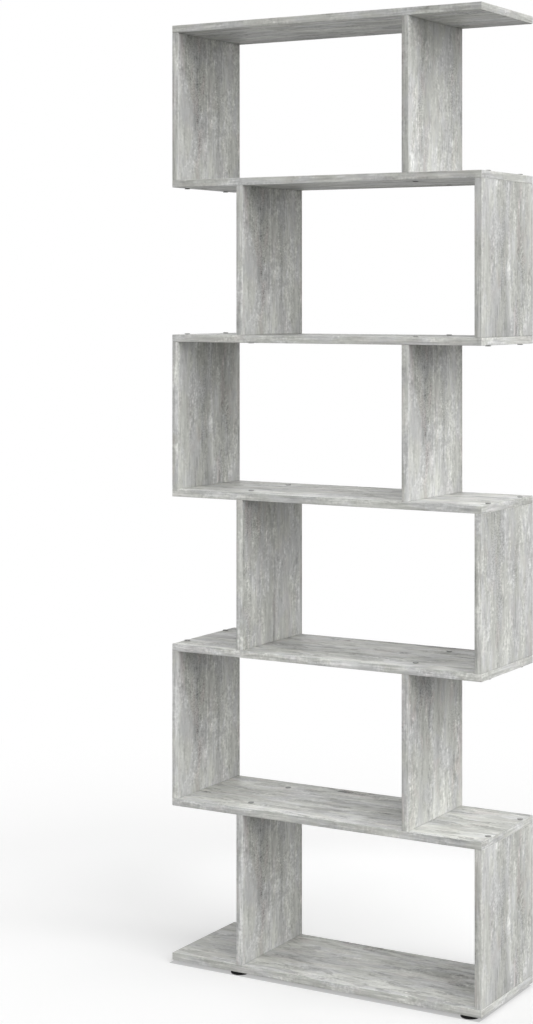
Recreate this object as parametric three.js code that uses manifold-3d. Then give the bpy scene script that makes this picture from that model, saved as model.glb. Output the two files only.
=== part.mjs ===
// Zigzag bookshelf: a tall, open room divider of faced chipboard, six tiers high.
// Each tier has one upright flush with an end of the shelf and one set in from the other end.
// Every tier is turned half round on the one below, so the uprights step from side to side.
// Connector screws under round cover caps go through the lying boards into the uprights' ends.
// Lengths are in millimetres, +Z is up, and the origin is on the floor under the shelf's middle.

import * as THREE from 'three';
import { mergeVertices } from 'three/addons/utils/BufferGeometryUtils.js';
import Module from 'manifold-3d';

const wasm = await Module();
wasm.setup();

// Boards
const shelfWidth = 700;
const shelfDepth = 232;
const boardThickness = 15;
// Clear height between two lying boards
const tierHeight = 300;
// Clear width of the side niche, from the inner upright to the shelf's end
const nicheWidth = 155;
// Height of the base board over the floor
const floorGap = 7;
// Broken edge around each face of a board
const arris = 0.5;
// Play between two flat faces that are pressed together
const seatGap = 0.1;

// Connector screws: their row lies this far in from the front edge, and from the rear edge
const connectorInset = 44;
const connectorLength = 50;
const capRadius = 6;
const capHeight = 2;
const headRadius = 4.8;
const headDepth = 3.2;
const shankRadius = 3.5;
const threadRadius = 2.5;
const tipLength = 3;
// Play between a round part and its hole
const holeClearance = 0.3;
// Empty depth of a blind hole beyond the screw's tip
const tipRoom = 2;

// Feet: round glides, each held up against the base board by one screw
const footRadius = 19;
const footRound = 1.5;
// From the shelf's front or rear edge to the foot's side
const footEdgeInset = 1;
// From the foot's side to the nearest cover cap, at the inner and at the end upright
const innerFootGap = 1.2;
const endFootGap = 10;
const footScrewRadius = 2;
const footScrewHeadRadius = 3.8;
// Wood left between the foot screw's tip and the base board's top face
const footScrewSkin = 4;

// Counts and shares
const tierCount = 6;
const connectorSides = 10;
const footSides = 24;
const capEdgeShare = 0.4;
const capCrownShare = 0.62;
const footWebShare = 0.42;
const footHeadShare = 0.6;

// Cutters run this far past the face that they open
const overrun = 2;

// Places, in a tier's own frame: inner upright to the left, end upright to the right
const innerX = -shelfWidth / 2 + nicheWidth + boardThickness / 2;
const endX = shelfWidth / 2 - boardThickness / 2;
const rowY = shelfDepth / 2 - connectorInset;
const tierPitch = tierHeight + boardThickness;
const uprightHeight = tierHeight - 2 * seatGap;
const footHeight = floorGap - seatGap;

const finishes = {
  board: { color: 0xb9bab8, roughness: 0.62, metalness: 0 },
  cap: { color: 0x8f9193, roughness: 0.5, metalness: 0 },
  foot: { color: 0x1c1c1e, roughness: 0.55, metalness: 0 },
  screw: { color: 0xb4b6b8, roughness: 0.35, metalness: 0.9 },
};

function piece(name, geometry, finish) {
  const material = new THREE.MeshStandardMaterial({ ...finishes[finish], flatShading: true });
  const mesh = new THREE.Mesh(geometry, material);
  mesh.name = name;
  return mesh;
}

// Joins and cuts

function solidOf(geometry) {
  const bare = geometry.clone();
  bare.deleteAttribute('normal');
  bare.deleteAttribute('uv');
  const merged = mergeVertices(bare);
  const vertProperties = new Float32Array(merged.attributes.position.array);
  const triVerts = new Uint32Array(merged.index.array);
  return new wasm.Manifold(new wasm.Mesh({ numProp: 3, vertProperties, triVerts }));
}

function geometryOf(solid) {
  const mesh = solid.getMesh();
  const geometry = new THREE.BufferGeometry();
  geometry.setAttribute('position', new THREE.BufferAttribute(mesh.vertProperties, 3));
  geometry.setIndex(new THREE.BufferAttribute(mesh.triVerts, 1));
  geometry.computeVertexNormals();
  return geometry;
}

// A turned shape about the Z axis, from its radius and height at each point, bottom to top
function turned(profile, sides) {
  const points = profile.map(([radius, height]) => new THREE.Vector2(radius, height));
  return new THREE.LatheGeometry(points, sides).rotateX(Math.PI / 2);
}

function moved(geometry, x, y, z) {
  return geometry.clone().translate(x, y, z);
}

function flipped(geometry) {
  return geometry.clone().rotateX(Math.PI);
}

// Boards: one panel with a broken edge around both faces, its lower face at zero height

function panel(length, depth) {
  const face = new THREE.Shape([
    new THREE.Vector2(-length / 2, -depth / 2),
    new THREE.Vector2(length / 2, -depth / 2),
    new THREE.Vector2(length / 2, depth / 2),
    new THREE.Vector2(-length / 2, depth / 2),
  ]);
  return new THREE.ExtrudeGeometry(face, {
    depth: boardThickness - 2 * arris,
    bevelEnabled: true,
    bevelThickness: arris,
    bevelSize: arris,
    bevelOffset: -arris,
    bevelSegments: 1,
  }).translate(0, 0, arris);
}

// Connector screws: the head's top lies at zero height, in the face that the cap covers

const capAndHead = [
  [shankRadius, -headDepth],
  [headRadius, 0],
  [headRadius, seatGap],
  [capRadius, seatGap],
  [capRadius, capHeight * capEdgeShare],
  [capRadius * capCrownShare, capHeight],
  [0, capHeight],
];

// The whole screw with its cap, its thread plain
function connector() {
  return turned([
    [0, -connectorLength],
    [threadRadius, -connectorLength + tipLength],
    [threadRadius, -boardThickness],
    [shankRadius, -boardThickness],
    ...capAndHead,
  ], connectorSides);
}

// A screw that is one solid with its upright: from its root inside the upright to the cap
function rootedConnector() {
  const root = -boardThickness - seatGap - tipLength;
  return turned([
    [0, root],
    [shankRadius, root],
    ...capAndHead,
  ], connectorSides);
}

// The countersunk hole for it, through a lying board
function connectorHole() {
  return turned([
    [0, -boardThickness - overrun],
    [shankRadius + holeClearance, -boardThickness - overrun],
    [shankRadius + holeClearance, -headDepth - holeClearance],
    [headRadius + holeClearance, 0],
    [headRadius + holeClearance, overrun],
    [0, overrun],
  ], connectorSides);
}

// The blind hole for its thread, in an upright's upper end
function threadHole() {
  const depth = connectorLength - boardThickness - seatGap + tipRoom;
  return turned([
    [0, -depth],
    [threadRadius + holeClearance, -depth],
    [threadRadius + holeClearance, overrun],
    [0, overrun],
  ], connectorSides);
}

function uprightGeometry() {
  const standing = panel(uprightHeight, shelfDepth)
    .translate(uprightHeight / 2, 0, -boardThickness / 2)
    .rotateY(-Math.PI / 2);
  let solid = solidOf(standing);
  const upper = threadHole();
  const lower = flipped(rootedConnector());
  for (const y of [-rowY, rowY]) {
    solid = solid.subtract(solidOf(moved(upper, 0, y, uprightHeight)));
    solid = solid.add(solidOf(moved(lower, 0, y, -seatGap - boardThickness)));
  }
  return geometryOf(solid);
}

// A lying board with its lower face at zero height, drilled from above and from below
function lyingBoard(aboveX, belowX) {
  let solid = solidOf(panel(shelfWidth, shelfDepth));
  const fromAbove = connectorHole();
  const fromBelow = flipped(fromAbove);
  for (const y of [-rowY, rowY]) {
    for (const x of aboveX) {
      solid = solid.subtract(solidOf(moved(fromAbove, x, y, boardThickness)));
    }
    for (const x of belowX) {
      solid = solid.subtract(solidOf(moved(fromBelow, x, y, 0)));
    }
  }
  return solid;
}

// Feet

const footWeb = footHeight * footWebShare;
const footRecess = footHeight - footWeb;
const footScrewHeadHeight = footRecess * footHeadShare;
const footScrewTip = floorGap + boardThickness - footScrewSkin;
const footY = shelfDepth / 2 - footEdgeInset - footRadius;

// A foot stands as close to its upright as the cover cap of the nearest connector lets it
function footX(connectorX, gap) {
  const reach = footRadius + capRadius + gap;
  const along = rowY - footY;
  return connectorX - Math.sqrt(Math.max(reach * reach - along * along, 0));
}

const footPlaces = [
  ['front_left', footX(innerX, innerFootGap), -footY],
  ['front_right', footX(endX, endFootGap), -footY],
  ['rear_left', footX(innerX, innerFootGap), footY],
  ['rear_right', footX(endX, endFootGap), footY],
];

function footGeometry() {
  const recessRadius = footScrewHeadRadius + 2 * holeClearance;
  const boreRadius = footScrewRadius + holeClearance;
  return turned([
    [recessRadius, footRecess],
    [recessRadius, 0],
    [footRadius - footRound, 0],
    [footRadius, footRound],
    [footRadius, footHeight],
    [boreRadius, footHeight],
    [boreRadius, footRecess],
    [recessRadius, footRecess],
  ], footSides);
}

function footScrewGeometry() {
  const headTop = footRecess - seatGap;
  return turned([
    [0, headTop - footScrewHeadHeight],
    [footScrewHeadRadius, headTop - footScrewHeadHeight],
    [footScrewHeadRadius, headTop],
    [footScrewRadius, headTop],
    [footScrewRadius, footScrewTip - footScrewRadius],
    [0, footScrewTip],
  ], connectorSides);
}

function footScrewHole() {
  const radius = footScrewRadius + holeClearance;
  const top = footScrewTip - floorGap + holeClearance;
  return turned([
    [0, -overrun],
    [radius, -overrun],
    [radius, top],
    [0, top],
  ], connectorSides);
}

// The base: the lowest board on its four feet
function base() {
  const group = new THREE.Group();
  let solid = lyingBoard([], [innerX, endX]);
  for (const [, x, y] of footPlaces) {
    solid = solid.subtract(solidOf(moved(footScrewHole(), x, y, 0)));
  }
  const board = piece('base_board', geometryOf(solid), 'board');
  board.position.z = floorGap;
  group.add(board);
  for (const [place, x, y] of footPlaces) {
    const foot = piece(`foot_${place}`, footGeometry(), 'foot');
    const screw = piece(`foot_screw_${place}`, footScrewGeometry(), 'screw');
    foot.position.set(x, y, 0);
    screw.position.set(x, y, 0);
    group.add(foot, screw);
  }
  return group;
}

// A tier: two uprights, the lying board over them and the connectors that hold it down.
// The next tier is turned half round, so the board's holes from below lie mirrored.
function tier(number) {
  const group = new THREE.Group();
  const halfTurned = number % 2 === 0;
  const isTop = number === tierCount;
  const uprights = [['inner', innerX], ['end', endX]];
  for (const [place, x] of uprights) {
    const upright = piece(`tier_${number}_${place}_upright`, uprightGeometry(), 'board');
    upright.position.set(x, 0, seatGap);
    group.add(upright);
    for (const y of [-rowY, rowY]) {
      const isFront = (y < 0) !== halfTurned;
      const name = `tier_${number}_${place}_connector_${isFront ? 'front' : 'rear'}`;
      const screw = piece(name, connector(), 'cap');
      screw.position.set(x, y, tierPitch);
      group.add(screw);
    }
  }
  const belowX = isTop ? [] : [-innerX, -endX];
  const solid = lyingBoard([innerX, endX], belowX);
  const board = piece(isTop ? 'top_board' : `shelf_board_${number}`, geometryOf(solid), 'board');
  board.position.z = tierHeight;
  group.add(board);
  group.rotation.z = halfTurned ? Math.PI : 0;
  return group;
}

const bookshelf = new THREE.Group();
bookshelf.name = 'zigzag_bookshelf';
bookshelf.add(base());
for (let number = 1; number <= tierCount; number += 1) {
  const group = tier(number);
  group.position.z = floorGap + boardThickness + (number - 1) * tierPitch;
  bookshelf.add(group);
}

export default bookshelf;
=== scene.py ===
# %% [markdown]
# A zigzag bookshelf: six tiers of faced chipboard, each turned half round on the one below.
# The frame gives every board, connector and foot at its real size, in metres, with +Z up and
# the front along -Y. Here each of them gets its finished shape and surface.

# %% Load the frame
import math
import bmesh
import bpy
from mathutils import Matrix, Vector


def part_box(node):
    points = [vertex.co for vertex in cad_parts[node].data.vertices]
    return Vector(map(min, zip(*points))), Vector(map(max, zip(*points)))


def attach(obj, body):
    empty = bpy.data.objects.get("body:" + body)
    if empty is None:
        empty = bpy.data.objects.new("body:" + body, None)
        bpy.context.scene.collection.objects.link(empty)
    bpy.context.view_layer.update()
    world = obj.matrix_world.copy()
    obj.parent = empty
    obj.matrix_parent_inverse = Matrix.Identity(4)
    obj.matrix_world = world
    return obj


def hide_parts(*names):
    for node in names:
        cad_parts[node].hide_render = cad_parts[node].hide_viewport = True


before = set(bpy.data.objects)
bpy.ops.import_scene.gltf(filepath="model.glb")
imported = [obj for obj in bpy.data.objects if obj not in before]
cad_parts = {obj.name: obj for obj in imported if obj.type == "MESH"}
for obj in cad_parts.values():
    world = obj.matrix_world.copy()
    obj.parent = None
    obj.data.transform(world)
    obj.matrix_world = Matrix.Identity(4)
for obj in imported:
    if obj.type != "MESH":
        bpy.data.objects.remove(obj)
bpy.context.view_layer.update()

MM = 0.001
print("nodes in the frame:", len(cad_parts))

# %% [markdown]
# The camera stands in front of the shelf and to its right, over two thirds of the way up.
# It looks level, so every upright stays upright in the picture, and the lens is shifted
# instead of tilted, as with a view camera. A 71 mm lens from four metres keeps the boards
# nearly parallel.

# %% Camera
CAMERA_PLACE = (2.00697, -3.53967, 1.35645)
CAMERA_TURN = math.radians(29.0045)
CAMERA_LENS = 71.316
CAMERA_SHIFT = (-0.10003, -0.20894)
SENSOR_WIDTH = 36

bpy.ops.object.select_all(action="DESELECT")
bpy.ops.object.camera_add(location=CAMERA_PLACE, rotation=(math.pi / 2, 0, CAMERA_TURN))
camera = bpy.context.object
camera.name = "front_right_camera"
camera.data.sensor_width = SENSOR_WIDTH
camera.data.lens = CAMERA_LENS
camera.data.shift_x, camera.data.shift_y = CAMERA_SHIFT
bpy.context.scene.camera = camera
bpy.context.scene.view_settings.view_transform = "Standard"
print("camera at", tuple(round(v, 3) for v in camera.location), "with a lens of", CAMERA_LENS)

# %% [markdown]
# Materials are built from nodes. These helpers add one node, set what its sockets hold, and
# link the sockets that are given another node's output. They keep the long recipes further
# down readable, and they work in a material, a world or a node group alike.

# %% Node helpers
NODE_SPACING = 200


def fill(tree, made, inputs):
    made.location = (NODE_SPACING * len(tree.nodes), 0)
    for socket, value in inputs.items():
        if isinstance(value, bpy.types.NodeSocket):
            tree.links.new(value, made.inputs[socket])
        else:
            made.inputs[socket].default_value = value
    return made.outputs


def add(tree, kind, inputs=None, **settings):
    made = tree.nodes.new("ShaderNode" + kind)
    for name, value in settings.items():
        setattr(made, name, value)
    return fill(tree, made, inputs or {})


def calc(tree, operation, *values):
    return add(tree, "Math", dict(enumerate(values)), operation=operation)[0]


def smooth_step(tree, value, low, high):
    inputs = {"Value": value, "From Min": low, "From Max": high}
    return add(tree, "MapRange", inputs, interpolation_type="SMOOTHSTEP")[0]


# A soft ellipse fades out between these shares of its half sizes
ELLIPSE_RIM = (1.2, 0.6)


def soft_ellipse(tree, place, centre, half_sizes):
    offset = add(tree, "VectorMath", {0: place, 1: centre}, operation="SUBTRACT")[0]
    shares = add(tree, "VectorMath", {0: offset, 1: half_sizes}, operation="DIVIDE")[0]
    distance = add(tree, "VectorMath", {0: shares}, operation="LENGTH")["Value"]
    return smooth_step(tree, distance, *ELLIPSE_RIM)


def new_material(name):
    material = bpy.data.materials.new(name)
    material.use_nodes = True
    material.node_tree.nodes.clear()
    return material, material.node_tree


# %% [markdown]
# Colours are easiest to judge as the levels from 0 to 255 that a screen shows, but a shader
# wants the light itself. This is the standard curve between the two.

# %% Screen levels to light
def light_of(level):
    share = level / 255
    return share / 12.92 if share <= 0.04045 else ((share + 0.055) / 1.055) ** 2.4


def colour(red, green, blue):
    return (light_of(red), light_of(green), light_of(blue), 1)


# %% [markdown]
# The studio is white. The world looks white to the camera, and lights the shelf with a soft
# grey, because light from all sides at full strength would flatten it. Four wide lamps
# shape the boards. Suns are used as softboxes here: the wide angle gives the same slow
# shades, with the same strength on the lowest tier and on the highest.

# %% World
SKY_LIGHT = 0.36


def background_rays(tree):
    path = add(tree, "LightPath")
    seen = calc(tree, "MAXIMUM", path["Is Camera Ray"], path["Is Glossy Ray"])
    return calc(tree, "MAXIMUM", seen, path["Is Transmission Ray"])


world = bpy.data.worlds.new("white_studio")
world.use_nodes = True
tree = world.node_tree
tree.nodes.clear()
light_level = add(tree, "MapRange", {"Value": background_rays(tree), "To Min": SKY_LIGHT})[0]
backdrop = add(tree, "Background", {"Color": (1, 1, 1, 1), "Strength": light_level})
add(tree, "OutputWorld", {"Surface": backdrop[0]})
bpy.context.scene.world = world
print("world light:", SKY_LIGHT)

# %% Lamps
LAMPS = {
    "right_low": dict(towards=(0.86, -0.20, 0.47), energy=1.45, angle=60),
    "right_high": dict(towards=(0.62, -0.20, 0.76), energy=0.55, angle=50),
    "front": dict(towards=(0.25, -0.86, 0.42), energy=1.00, angle=60),
    "rear_left": dict(towards=(-0.62, 0.77, 0.14), energy=0.50, angle=40),
}
for name, lamp in LAMPS.items():
    turn = Vector(lamp["towards"]).to_track_quat("Z", "Y").to_euler()
    bpy.ops.object.light_add(type="SUN", rotation=turn)
    sun = bpy.context.object
    sun.name = "lamp_" + name
    sun.data.energy = lamp["energy"]
    sun.data.angle = math.radians(lamp["angle"])
    print(sun.name, lamp)

# %% [markdown]
# The floor is a pale disc that takes the shelf's shadow. It glows a little, like a lit
# table, so that it is white where nothing shades it, and away from the shelf it turns into
# the white of the world, so no horizon shows. The light that it throws back up comes from a
# greyer floor, which keeps the undersides of the boards darker than their tops. Soft lamps
# can't draw the sharp edge of the shadow under the base board, so the paint is darker there.
# Three wide ellipses lighten the shadow behind the shelf and to its left, and take the glare
# off the floor beside it.

# %% Floor
FLOOR_RADIUS = 20.0
FLOOR_SIDES = 96
FADE_START = 0.7
FADE_END = 2.4
FLOOR_WHITE = 0.84
FLOOR_GLOW = 0.27
FLOOR_BOUNCE = 0.28
REAR_GLOW = 0.095
REAR_GLOW_PLACE = dict(centre=(-0.12, 0.50, 0), half_sizes=(0.62, 0.42, 1))
LEFT_GLOW = 0.035
LEFT_GLOW_PLACE = dict(centre=(-0.78, 0.15, 0), half_sizes=(0.42, 0.60, 1))
SIDE_SHADE = 0.10
SIDE_SHADE_PLACE = dict(centre=(0.45, 0.0, 0), half_sizes=(0.22, 0.28, 1))
UNDER_WHITE = 0.22
UNDER_GLOW = 0.43
UNDER_EDGE = 0.003
UNDER_SHIFT = -0.006

bpy.ops.object.select_all(action="DESELECT")
bpy.ops.mesh.primitive_circle_add(vertices=FLOOR_SIDES, radius=FLOOR_RADIUS, fill_type="NGON")
floor = bpy.context.object
floor.name = "studio_floor"
print("floor radius:", FLOOR_RADIUS)

# %% Floor material
floor_material, tree = new_material("white_floor")
seen = background_rays(tree)
place = add(tree, "TexCoord")["Object"]
distance = add(tree, "VectorMath", {0: place}, operation="LENGTH")["Value"]
fade = calc(tree, "MULTIPLY", smooth_step(tree, distance, FADE_START, FADE_END), seen)
split = add(tree, "SeparateXYZ", {0: place})
half_sizes = [v / 2 for v in Vector(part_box("base_board")[1]) - Vector(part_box("base_board")[0])]
shifted = calc(tree, "SUBTRACT", split[0], UNDER_SHIFT)
inside = [smooth_step(tree, calc(tree, "ABSOLUTE", value), half + UNDER_EDGE, half)
          for value, half in ((shifted, half_sizes[0]), (split[1], half_sizes[1]))]
under = calc(tree, "MULTIPLY", inside[0], inside[1])
beside = soft_ellipse(tree, place, **SIDE_SHADE_PLACE)
behind = soft_ellipse(tree, place, **REAR_GLOW_PLACE)
left = soft_ellipse(tree, place, **LEFT_GLOW_PLACE)
white = calc(tree, "MULTIPLY_ADD", beside, -SIDE_SHADE, FLOOR_WHITE)
white = add(tree, "Mix", {0: under, 2: white, 3: UNDER_WHITE})[0]
glow = calc(tree, "MULTIPLY_ADD", left, LEFT_GLOW, FLOOR_GLOW)
glow = calc(tree, "MULTIPLY_ADD", behind, REAR_GLOW, glow)
glow = add(tree, "Mix", {0: under, 2: glow, 3: UNDER_GLOW})[0]
shade = add(tree, "Mix", {0: seen, 2: FLOOR_BOUNCE, 3: white})[0]
paint = add(tree, "BsdfDiffuse", {"Color": shade})
near_glow = add(tree, "Emission", {"Strength": calc(tree, "MULTIPLY", seen, glow)})
far_glow = add(tree, "Emission", {"Strength": 1.0})
lit = add(tree, "AddShader", {0: paint[0], 1: near_glow[0]})
mixed = add(tree, "MixShader", {0: fade, 1: lit[0], 2: far_glow[0]})
add(tree, "OutputMaterial", {"Surface": mixed[0]})
floor.data.materials.append(floor_material)
print("material:", floor_material.name)

# %% [markdown]
# The boards are faced with printed paper under a matt film: a whitewashed, weathered wood.
# Nearly all of its marks are noise that is stretched along the grain: clouds, streaks and
# fibres differ only in their length and width. So one small node group holds a stretched
# noise whose length and width are given in metres, and the decor stacks it up.

# %% Node groups
SOCKETS = {"value": "NodeSocketFloat", "vector": "NodeSocketVector", "colour": "NodeSocketColor"}


def new_group(name, inputs, outputs):
    tree = bpy.data.node_groups.new(name, "ShaderNodeTree")
    for socket, kind in inputs.items():
        tree.interface.new_socket(name=socket, in_out="INPUT", socket_type=SOCKETS[kind])
    for socket, kind in outputs.items():
        tree.interface.new_socket(name=socket, in_out="OUTPUT", socket_type=SOCKETS[kind])
    return tree, tree.nodes.new("NodeGroupInput").outputs


def put_out(tree, values):
    fill(tree, tree.nodes.new("NodeGroupOutput"), values)


def use(tree, group, inputs):
    made = tree.nodes.new("ShaderNodeGroup")
    made.node_tree = group
    return fill(tree, made, inputs)


# %% Stretched noise
NOISE_ROUGHNESS = 0.55

stretched, given = new_group(
    "Stretched noise",
    {"Grain": "vector", "Length": "value", "Width": "value", "Detail": "value",
     "Wave": "value", "Seed": "value"},
    {"Value": "value"},
)
split = add(stretched, "SeparateXYZ", {0: given["Grain"]})
along = calc(stretched, "DIVIDE", split[0], given["Length"])
across = calc(stretched, "DIVIDE", split[1], given["Width"])
spot = add(stretched, "CombineXYZ", {0: along, 1: across, 2: given["Seed"]})[0]
noise = add(stretched, "TexNoise", {
    "Vector": spot,
    "Scale": 1.0,
    "Detail": given["Detail"],
    "Roughness": NOISE_ROUGHNESS,
    "Distortion": given["Wave"],
})["Fac"]
put_out(stretched, {"Value": calc(stretched, "SUBTRACT", noise, 0.5)})
print("group:", stretched.name)

# %% [markdown]
# The print is a roll that is cut into strips as wide as a board is deep, and boards of one
# cut show the same marks. Each strip's bands are written below as pairs: the distance from
# the board's front edge in millimetres, and how many screen levels the print is lighter or
# darker there. A colour ramp joins the points smoothly. An upright has three such rows, at
# its foot, half way up and at its head, and most strips are darker at the head than at the
# foot. Tops, left faces and undersides have one row each, and so have the edge bands, which
# are only 15 mm wide. The rows of the tops, the undersides and the uprights' edge bands also
# hold painted light and painted shade. The last strip is a faded copy of the first.

# %% Bands of the printed roll, with painted light and shade on some strips
STRIP_WIDTH = 0.25
STRIP_MARGIN = 0.009
LEVEL_SPAN = 80
MIDDLE_GREY = (0.5, 0.5, 0.5, 1)
# Every upright is cut from the same stretch of the roll, in metres along it
UPRIGHT_START = 12.0
UPRIGHT_LENGTH = 0.30
STRIPS = [{
    "foot": [(0, 11), (20, 6), (50, 7), (64, -5), (76, -9), (88, 11), (106, 17), (122, 12),
             (145, -6), (162, 2), (188, 1), (204, -12), (224, -17), (231, -26)],
    "middle": [(0, 16), (18, 3), (40, 0), (54, -9), (70, -17), (84, -10), (98, -4), (104, 8),
               (112, 0), (128, 13), (142, -6), (158, -1), (172, 11), (195, 6), (222, -2),
               (230, -22)],
    "head": [(0, 2), (14, -14), (35, -18), (56, -28), (78, -30), (90, -19), (100, -16),
             (106, 7), (112, -5), (136, 2), (155, 3), (170, 17), (195, 14), (222, 8), (231, -8)],
}, {
    "foot": [(0, 8), (30, 2), (50, -10), (66, -15), (82, -11), (98, -20), (114, -20),
             (128, 8), (141, -10), (152, -12), (172, -7), (195, 3), (222, -3), (231, -24)],
    "middle": [(0, 9), (30, -1), (58, 2), (76, -8), (98, -20), (110, -6), (121, 12),
               (133, -8), (145, 6), (158, -16), (168, -20), (182, -10), (205, -8), (222, 0),
               (231, -26)],
    "head": [(0, 6), (30, 4), (55, 11), (72, 2), (84, -1), (98, -10), (113, 4), (124, -10),
             (136, -14), (146, -10), (157, -24), (172, -14), (190, 0), (205, -4), (222, 6),
             (231, -16)],
}, {
    "foot": [(0, 0), (17, -12), (30, -4), (60, 0), (78, 4), (106, -4), (116, -6), (121, -26),
             (127, 2), (145, 0), (172, -4), (198, 2), (220, 6), (231, -16)],
    "middle": [(0, -14), (14, 3), (40, 6), (62, -4), (82, 0), (100, 4), (118, -4), (124, -8),
               (130, 8), (155, 2), (180, 8), (205, 3), (222, 0), (231, -22)],
    "head": [(0, -14), (16, -25), (40, -19), (68, -10), (90, -4), (110, 0), (119, -10),
             (128, 1), (155, 1), (178, 12), (195, 12), (214, 4), (231, -4)],
}, {
    "foot": [(0, -3), (45, -2), (66, -8), (80, -11), (98, -1), (112, 8), (122, 2), (134, 5),
             (150, 11), (178, 4), (198, -14), (216, -10), (231, -6)],
    "middle": [(0, -3), (30, -8), (52, -14), (76, -18), (92, -17), (108, -7), (120, -20),
               (135, -14), (154, -2), (172, -8), (190, -12), (212, -20), (231, -24)],
    "head": [(0, -8), (20, -20), (50, -27), (78, -32), (98, -22), (110, -12), (122, -18),
             (150, -10), (175, -9), (205, -13), (231, -16)],
}, {
    "foot": [(0, 6), (18, 11), (42, 3), (62, -9), (76, 2), (92, 9), (118, 6), (145, -2),
             (190, -2), (220, -5), (231, -10)],
    "middle": [(0, 12), (30, 13), (42, 3), (54, -9), (85, -3), (105, 1), (122, 4), (155, -1),
               (172, -7), (205, -12), (222, -12), (231, -28)],
    "head": [(0, 10), (28, 8), (42, -6), (54, -17), (80, -8), (108, -8), (126, 3), (150, -2),
             (175, -5), (200, -13), (222, -14), (231, -30)],
}, {
    # The tops' row: painted light at the front edge, fading into painted shade towards the rear
    "foot": [(0, 22), (14, 17), (36, 11), (56, 7), (78, -1), (100, -5), (118, -7), (140, -4),
             (165, -4), (190, -6), (212, -13), (231, -20)],
}, {
    "foot": [(0, 6), (40, 3), (75, -7), (95, 2), (125, 5), (150, -6), (185, 3), (231, -3)],
}, {
    # The undersides' row: painted shade towards the rear
    "foot": [(0, 4), (40, 5), (75, 0), (110, 3), (150, -4), (180, -10), (205, -26), (231, -36)],
}, {
    "foot": [(0, -3), (3, 4), (8, 4), (11, 0), (15, -3)],
}, {
    # The uprights' edge bands: painted shade on the left half, painted light on the right half
    "foot": [(0, -9), (3.5, -9), (6, -2), (9, 3), (12, 6), (15, 4)],
}]
TOP_STRIP = 5
LEFT_STRIP = 6
UNDER_STRIP = 7
EDGE_STRIP = 8
UPRIGHT_EDGE_STRIP = 9
PLAIN_STRIP = 10
FADED_STRIP = 11
FADED_SHARE = 0.65
STRIPS += [{}, {row: [(place, levels * FADED_SHARE) for place, levels in points]
                for row, points in STRIPS[0].items()}]
print("strips on the roll:", len(STRIPS))


def bands(tree, across, number, row):
    start = number * STRIP_WIDTH
    share = add(tree, "MapRange", {
        "Value": across,
        "From Min": start - STRIP_MARGIN,
        "From Max": start - STRIP_MARGIN + STRIP_WIDTH,
    })[0]
    made = tree.nodes.new("ShaderNodeValToRGB")
    ramp = made.color_ramp
    ramp.interpolation = "CARDINAL"
    for stop in ramp.elements:
        stop.color = MIDDLE_GREY
    for place, levels in STRIPS[number][row]:
        stop = ramp.elements.new((place * MM + STRIP_MARGIN) / STRIP_WIDTH)
        grey = 0.5 + levels / LEVEL_SPAN
        stop.color = (grey, grey, grey, 1)
    out = fill(tree, made, {"Fac": share})["Color"]
    return calc(tree, "MULTIPLY", calc(tree, "SUBTRACT", out, 0.5), LEVEL_SPAN)


# %% [markdown]
# The decor adds its layers up, in screen levels around the print's mean grey. The bands,
# clouds a hand wide and streaks come first. Mottle, fibres and grit are strong where the wood
# is rough and faint where paint has filled it. Tops are smoother than uprights, apart from
# their worn patches, and edge bands are calmer, with long rubbed streaks of their own. Every
# noise and every mark is a row of a table, so a look is changed without touching the nodes.

# %% Layers of the decor
LAYERS = {
    "clouds": dict(length=0.150, width=0.045, detail=3.0, wave=0.8, levels=28),
    "streaks": dict(length=0.060, width=0.0105, detail=4.0, wave=0.7, levels=34),
}
TOP_LAYERS = {
    "drifts": dict(length=0.130, width=0.0270, detail=4.0, wave=0.8, levels=86),
}
FINE_LAYERS = {
    "mottle": dict(length=0.022, width=0.0170, detail=4.0, wave=0.8, levels=50),
    "fibres": dict(length=0.024, width=0.0044, detail=2.0, wave=0.3, levels=50),
    "grit": dict(length=0.0050, width=0.0065, detail=1.0, wave=0.0, levels=54),
}
EDGE_LAYERS = {
    "long streaks": dict(length=0.090, width=0.0040, detail=3.0, wave=0.4, levels=80),
    "shades": dict(length=0.110, width=0.0300, detail=2.0, wave=0.2, levels=46),
}
# The first seed of each stack. Layers of one stack lie this far apart in the noise
SEEDS = {"all over": 1.5, "fine": 5.5, "edges": 83.5, "tops": 97.5}
SEED_STEP = 3.5

# %% Marks of the decor
NOISES = {
    "wander": dict(seed=11.5, length=0.100, width=0.0500, detail=3.0),
    "swell": dict(seed=23.5, length=0.100, width=0.0400),
    "clusters": dict(seed=31.5, length=0.060, width=0.0240, detail=3.0, wave=0.5),
    "rough": dict(seed=73.5, length=0.085, width=0.0300, detail=3.0, wave=0.5),
    "worn": dict(seed=67.5, length=0.100, width=0.0260, detail=6.0, wave=1.0),
    "flakes": dict(seed=59.5, length=0.045, width=0.0080, detail=4.0, wave=0.6),
    "strokes": dict(seed=101.5, length=0.042, width=0.0048, detail=2.0, wave=0.3),
    "rubs": dict(seed=107.5, length=0.110, width=0.0080, detail=5.0, wave=0.6),
    "cool": dict(seed=41.5, length=0.080, width=0.0300, detail=3.0, wave=0.4),
    "rosy": dict(seed=47.5, length=0.060, width=0.0220, detail=2.0, wave=0.4),
    "pores": dict(seed=53.5, length=0.018, width=0.0009, detail=2.0, wave=0.2),
}
# A mask is 0 where what it reads is at the first value, and 1 where it is at the second
MASK_CUTS = {
    "dark band": (0.0, -14.0), "clusters": (-0.06, 0.08), "rough": (-0.09, 0.10),
    "worn": (0.02, 0.06), "flakes": (0.06, 0.10), "pale flakes": (-0.07, -0.11),
    "strokes": (0.11, 0.15), "pale strokes": (-0.12, -0.17), "rubs": (0.03, 0.07),
    "dots": (0.42, 0.12), "pale dots": (0.50, 0.80), "cool": (-0.08, 0.10), "rosy": (0.0, 0.16),
}
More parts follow.
